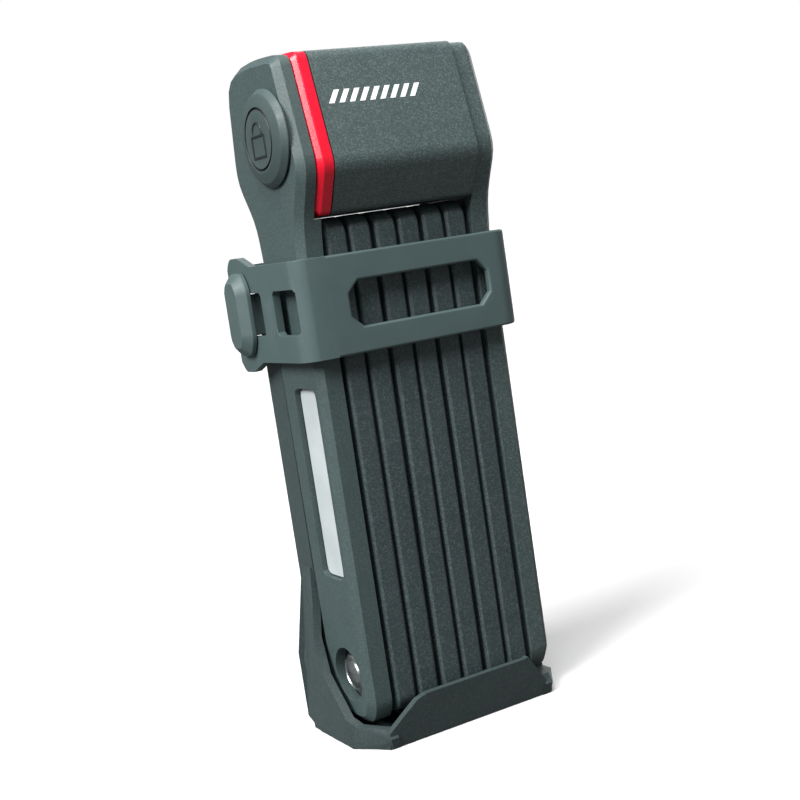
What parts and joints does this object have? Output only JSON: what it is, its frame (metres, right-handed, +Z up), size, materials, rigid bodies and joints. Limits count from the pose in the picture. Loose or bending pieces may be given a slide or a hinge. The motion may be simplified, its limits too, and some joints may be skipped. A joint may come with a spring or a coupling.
{
  "type": "folding bike lock",
  "caption": "Folding bike lock of riveted steel bars with a key-operated lock head, held by a strap in a holder that bolts to a bicycle frame.",
  "frame": {"origin": "centre of the rear face of the holder mounting boss, between the two screws", "axes": "+Z up along the bars, +X to the viewer's right across the stack of bars, front towards -Y, away from the bicycle frame"},
  "size_m": [0.0705, 0.0466, 0.1793],
  "materials": {
    "arm_coating": "fine-grained grey moulding",
    "barrel_coating": "speckled grey coating",
    "cover_plastic": "fine-grained grey moulding",
    "bar_coating": "dark grey wrinkle coating",
    "hardened_steel": "blanked hardened plate",
    "lock_steel": "machined",
    "bright_steel": "plated",
    "brass": "turned",
    "red_plastic": "satin red",
    "reflective_tape": "white reflective tape",
    "pad_rubber": "soft",
    "strap_rubber": "smooth soft grey",
    "holder_plastic": "fine-grained dark grey moulding"
  },
  "bodies": {
    "holder": {"holder_frame": "holder_plastic", "strap_hook": "holder_plastic", "strap_anchor_stud": "holder_plastic", "mount_screw_upper": "bright_steel", "mount_screw_lower": "bright_steel", "pad_upper": "pad_rubber", "pad_lower": "pad_rubber", "strap_side": "strap_rubber"},
    "strap_front": {"strap_front": "strap_rubber"},
    "strap_tail": {"strap_tail": "strap_rubber"},
    "arm_left": {"arm_left_cover": "arm_coating", "arm_left_core": "hardened_steel", "reflector_strip": "reflective_tape", "red_ring": "red_plastic", "barrel_shell": "barrel_coating", "lock_body": "lock_steel", "head_screw_1": "bright_steel", "head_screw_2": "bright_steel", "cover_pin": "bright_steel", "bolt_spring": "lock_steel", "rivet_1_2": "bright_steel", "washer_1_2": "brass"},
    "key_cover": {"key_cover": "cover_plastic"},
    "key_core": {"key_plug": "brass", "detainer_disc_1": "brass", "detainer_disc_2": "brass", "detainer_disc_3": "brass", "detainer_disc_4": "brass", "cam_driver": "lock_steel"},
    "bolt": {"locking_bolt": "lock_steel"},
    "bar_2": {"bar_2_jacket": "bar_coating", "bar_2_core": "hardened_steel", "rivet_2_3": "bright_steel", "washer_2_3": "brass"},
    "bar_3": {"bar_3_jacket": "bar_coating", "bar_3_core": "hardened_steel", "rivet_3_4": "bright_steel", "washer_3_4": "brass"},
    "bar_4": {"bar_4_jacket": "bar_coating", "bar_4_core": "hardened_steel", "rivet_4_5": "bright_steel", "washer_4_5": "brass"},
    "bar_5": {"bar_5_jacket": "bar_coating", "bar_5_core": "hardened_steel", "rivet_5_6": "bright_steel", "washer_5_6": "brass"},
    "bar_6": {"bar_6_jacket": "bar_coating", "bar_6_core": "hardened_steel", "rivet_6_7": "bright_steel", "washer_6_7": "brass"},
    "bar_7": {"bar_7_jacket": "bar_coating", "bar_7_core": "hardened_steel", "rivet_7_8": "bright_steel", "washer_7_8": "brass"},
    "arm_right": {"arm_right_cover": "arm_coating", "arm_right_core": "hardened_steel", "striker_bush": "lock_steel"}
  },
  "joints": [
    {"name": "lock_lift", "type": "slide", "parent": "holder", "child": "arm_left", "axis": [0, 0, 1], "range_m": [0, 0.26]},
    {"name": "rivet_1_2_fold", "type": "hinge", "parent": "arm_left", "child": "bar_2", "pos_m": [0, -0.0282, -0.0467], "axis": [1, 0, 0], "range_deg": [0, 60]},
    {"name": "rivet_2_3_fold", "type": "hinge", "parent": "bar_2", "child": "bar_3", "pos_m": [0, -0.0282, 0.0606], "axis": [1, 0, 0], "range_deg": [-120, 0]},
    {"name": "rivet_3_4_fold", "type": "hinge", "parent": "bar_3", "child": "bar_4", "pos_m": [0, -0.0282, -0.0467], "axis": [1, 0, 0], "range_deg": [0, 120]},
    {"name": "rivet_4_5_fold", "type": "hinge", "parent": "bar_4", "child": "bar_5", "pos_m": [0, -0.0282, 0.0606], "axis": [1, 0, 0], "range_deg": [-120, 0]},
    {"name": "rivet_5_6_fold", "type": "hinge", "parent": "bar_5", "child": "bar_6", "pos_m": [0, -0.0282, -0.0467], "axis": [1, 0, 0], "range_deg": [0, 120]},
    {"name": "rivet_6_7_fold", "type": "hinge", "parent": "bar_6", "child": "bar_7", "pos_m": [0, -0.0282, 0.0606], "axis": [1, 0, 0], "range_deg": [-120, 0]},
    {"name": "rivet_7_8_fold", "type": "hinge", "parent": "bar_7", "child": "arm_right", "pos_m": [0, -0.0282, -0.0467], "axis": [1, 0, 0], "range_deg": [0, 120]},
    {"name": "strap_open", "type": "hinge", "parent": "holder", "child": "strap_front", "pos_m": [0.0279, -0.0409, 0.0499], "axis": [0, 0, 1], "range_deg": [0, 110], "deforming": ["strap_front", "strap_tail", "strap_side"]},
    {"name": "strap_straighten", "type": "hinge", "parent": "strap_front", "child": "strap_tail", "pos_m": [-0.0292, -0.0409, 0.0499], "axis": [0, 0, 1], "range_deg": [0, 85]},
    {"name": "key_cover_swing", "type": "hinge", "parent": "arm_left", "child": "key_cover", "pos_m": [-0.0305, -0.0314, 0.1023], "axis": [1, 0, 0], "range_deg": [0, 120]},
    {"name": "key_turn", "type": "hinge", "parent": "arm_left", "child": "key_core", "pos_m": [-0.02, -0.0314, 0.0933], "axis": [1, 0, 0], "range_deg": [0, 90]},
    {"name": "bolt_throw", "type": "slide", "parent": "arm_left", "child": "bolt", "axis": [1, 0, 0], "range_m": [0, 0.005]}
  ],
  "couplings": [
    {"joint": "rivet_1_2_fold", "follows": "lock_lift", "rad_per_m": 4.0273},
    {"joint": "rivet_2_3_fold", "follows": "lock_lift", "rad_per_m": -8.0546},
    {"joint": "rivet_3_4_fold", "follows": "lock_lift", "rad_per_m": 8.0546},
    {"joint": "rivet_4_5_fold", "follows": "lock_lift", "rad_per_m": -8.0546},
    {"joint": "rivet_5_6_fold", "follows": "lock_lift", "rad_per_m": 8.0546},
    {"joint": "rivet_6_7_fold", "follows": "lock_lift", "rad_per_m": -8.0546},
    {"joint": "rivet_7_8_fold", "follows": "lock_lift", "rad_per_m": 8.0546},
    {"joint": "strap_straighten", "follows": "strap_open", "ratio": 0.77265},
    {"joint": "bolt_throw", "follows": "key_turn", "m_per_rad": 0.0031828}
  ]
}
